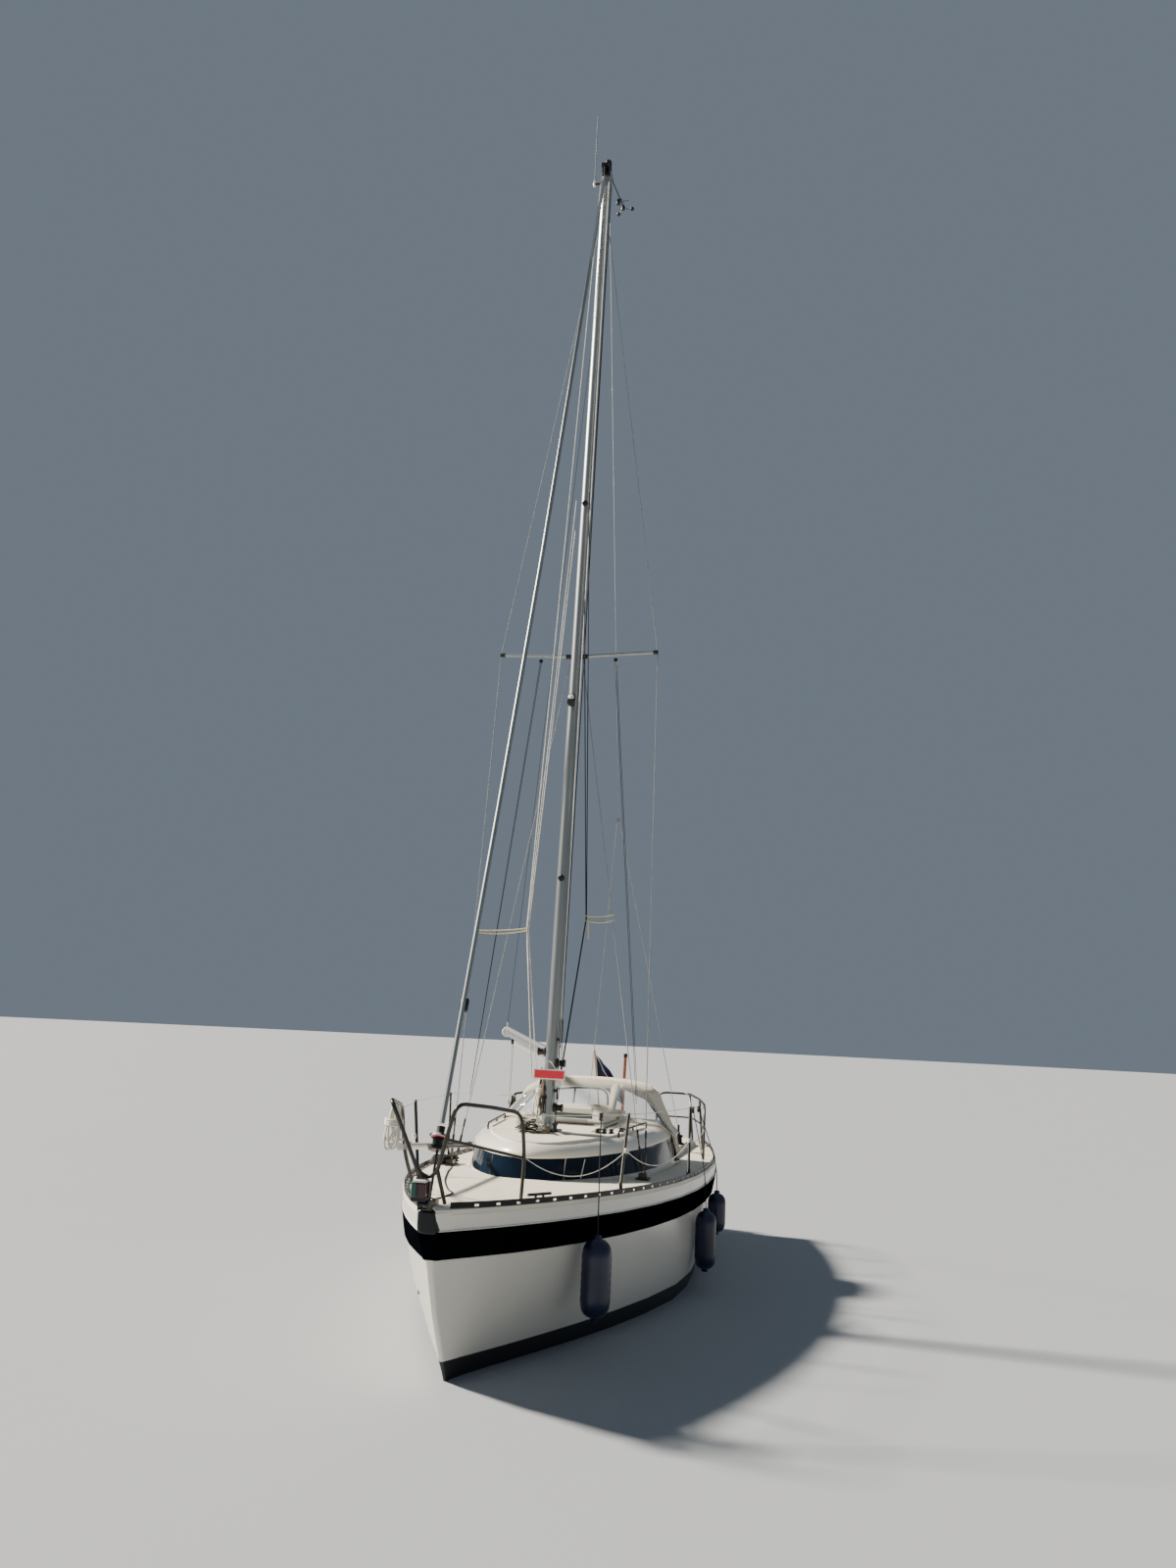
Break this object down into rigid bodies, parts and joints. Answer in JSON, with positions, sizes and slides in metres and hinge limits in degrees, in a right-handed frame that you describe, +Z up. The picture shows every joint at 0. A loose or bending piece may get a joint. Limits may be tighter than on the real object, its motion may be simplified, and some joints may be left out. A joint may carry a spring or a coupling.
{
  "type": "sailing yacht",
  "caption": "Masthead-rigged cruising yacht afloat, with fin keel, transom rudder, wraparound dark cabin windows, sprayhood, furled headstay and boom.",
  "frame": {"origin": "on the waterplane, on the centreline, at mid-length of the hull", "axes": "+X to port, +Y aft towards the transom, +Z up along the freeboard"},
  "size_m": [2.592, 8.1232, 12.97],
  "materials": {
    "gelcoat": "glossy cream gelcoat on glass-fibre laminate",
    "deck": "cream gelcoat with a fine non-slip texture",
    "black": "near-black paint and moulding",
    "acrylic": "dark tinted acrylic",
    "iron": "black epoxy and bottom paint on cast iron",
    "alloy": "anodised aluminium, satin",
    "steel": "polished stainless steel",
    "dark_alloy": "black anodised aluminium",
    "canvas": "cream acrylic canvas",
    "vinyl": "clear flexible vinyl",
    "varnish": "varnished mahogany",
    "bronze": "dull propeller bronze",
    "fender": "navy blue soft PVC",
    "flag": "navy blue woven polyester",
    "sign": "red plastic plate with a white border"
  },
  "bodies": {
    "root": {"hull": "gelcoat", "rubbing_strake": "black", "toe_rail_port": "black", "toe_rail_starboard": "black", "deck": "deck", "cabin_wall": "gelcoat", "window_front": "acrylic", "window_port": "acrylic", "window_starboard": "acrylic", "cabin_roof": "gelcoat", "cabin_bulkhead": "gelcoat", "washboard": "varnish", "sea_hood": "gelcoat", "sprayhood": "canvas", "hood_window": "vinyl", "cockpit_tub": "gelcoat", "winch_port": "dark_alloy", "winch_starboard": "dark_alloy", "pulpit": "steel", "pushpit_port": "steel", "pushpit_starboard": "steel", "stanchion_front_port": "steel", "stanchion_front_starboard": "steel", "stanchion_aft_port": "steel", "stanchion_aft_starboard": "steel", "mast_step": "alloy", "mast": "alloy", "masthead_fitting": "dark_alloy", "deck_light": "black", "spreader_port": "alloy", "spreader_starboard": "alloy", "cap_shroud_port": "steel", "cap_shroud_starboard": "steel", "lower_shroud_port": "steel", "lower_shroud_starboard": "steel", "chainplate_port": "steel", "chainplate_starboard": "steel", "backstay": "steel", "forestay_foil": "alloy", "furling_drum": "dark_alloy", "fin_keel": "iron", "rudder_hanger": "steel", "shaft_strut": "bronze", "stern_tube": "bronze", "engine_block": "dark_alloy", "fender_front": "fender", "fender_middle": "fender", "fender_aft": "fender", "nav_light": "black", "stern_post": "varnish", "flagstaff": "varnish", "flag": "flag", "sale_sign": "sign"},
    "boom": {"boom": "alloy"},
    "rudder": {"rudder": "gelcoat", "tiller": "varnish"},
    "hatch": {"sliding_hatch": "gelcoat"},
    "lid_port": {"locker_lid_port": "deck"},
    "lid_starboard": {"locker_lid_starboard": "deck"},
    "propeller": {"propeller": "bronze"}
  },
  "joints": [
    {"name": "rudder_turn", "type": "hinge", "parent": "root", "child": "rudder", "pos_m": [0, 3.838, 0.5], "axis": [0, 0, 1], "range_deg": [-35, 35]},
    {"name": "boom_swing", "type": "hinge", "parent": "root", "child": "boom", "pos_m": [0, -0.64429, 1.982], "axis": [0, 0.0476, 0.9989], "range_deg": [-102, 54]},
    {"name": "hatch_slide", "type": "slide", "parent": "root", "child": "hatch", "axis": [0, -1, 0], "range_m": [0, 0.55]},
    {"name": "locker_port_open", "type": "hinge", "parent": "root", "child": "lid_port", "pos_m": [0.626, 2.35, 0.805], "axis": [0, 1, 0], "range_deg": [0, 80]},
    {"name": "locker_starboard_open", "type": "hinge", "parent": "root", "child": "lid_starboard", "pos_m": [-0.626, 2.35, 0.805], "axis": [0, -1, 0], "range_deg": [0, 80]},
    {"name": "propeller_turn", "type": "hinge", "parent": "root", "child": "propeller", "pos_m": [0, 2.7, -0.52], "axis": [0, 0.9877, -0.1564], "continuous": true}
  ]
}
